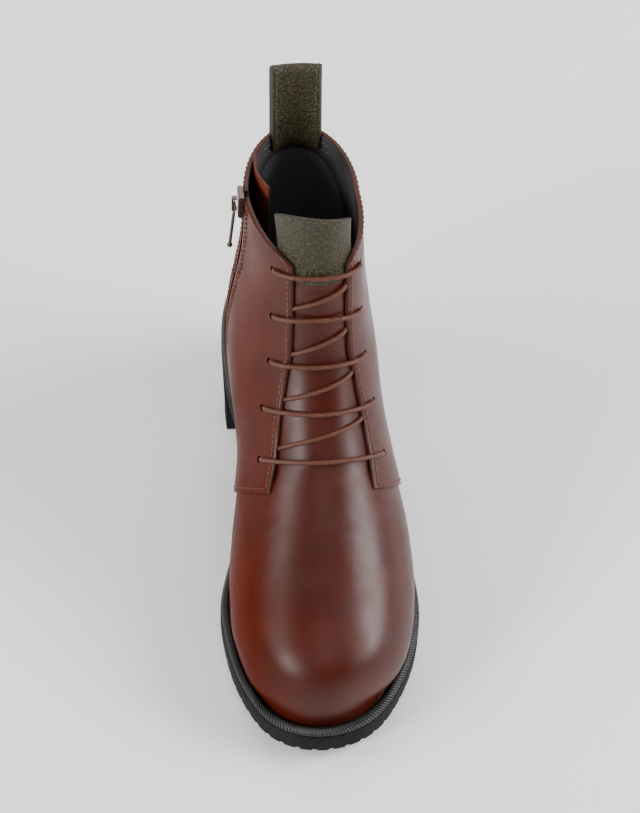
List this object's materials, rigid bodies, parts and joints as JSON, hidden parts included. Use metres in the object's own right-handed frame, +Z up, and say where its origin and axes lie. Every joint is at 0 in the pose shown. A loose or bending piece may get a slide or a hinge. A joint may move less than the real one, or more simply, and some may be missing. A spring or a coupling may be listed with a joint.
{
  "type": "lace-up ankle boot",
  "caption": "Left lace-up ankle boot in smooth brown leather with a block heel, inner side zip, olive tongue top and back pull loop.",
  "frame": {"origin": "on the floor, below the middle of the sole's box", "axes": "+Z up, +Y from the toe to the heel, +X to the wearer's outer side"},
  "size_m": [0.0956, 0.255, 0.2102],
  "materials": {
    "smooth_leather": "glossy smooth reddish brown box leather",
    "pebbled_leather": "olive pebbled leather, satin",
    "guard_leather": "orange brown leather, matte",
    "black_rubber": "matte black",
    "welt_rubber": "matte black with ribs like a rope",
    "insole_lining": "matte black lining leather",
    "lace_cord": "waxed round cord",
    "zip_cloth": "woven zip tape",
    "painted_metal": "brown satin paint"
  },
  "bodies": {
    "boot": {"outsole": "black_rubber", "heel": "black_rubber", "heel_top_lift": "black_rubber", "welt": "welt_rubber", "insole": "insole_lining", "upper": "smooth_leather", "tongue": "smooth_leather", "tongue_top": "pebbled_leather", "pull_loop": "pebbled_leather", "zip_tape": "zip_cloth", "zip_slider": "painted_metal", "zip_bridge": "painted_metal", "zip_guard": "guard_leather", "laces": "lace_cord"},
    "zip_pull_body": {"zip_pull": "painted_metal"}
  },
  "joints": [
    {"name": "zip_pull_swing", "type": "hinge", "parent": "boot", "child": "zip_pull_body", "pos_m": [-0.03361, 0.07371, 0.1672], "axis": [-0.0326, 0.999, -0.0317], "range_deg": [0, 150]}
  ]
}
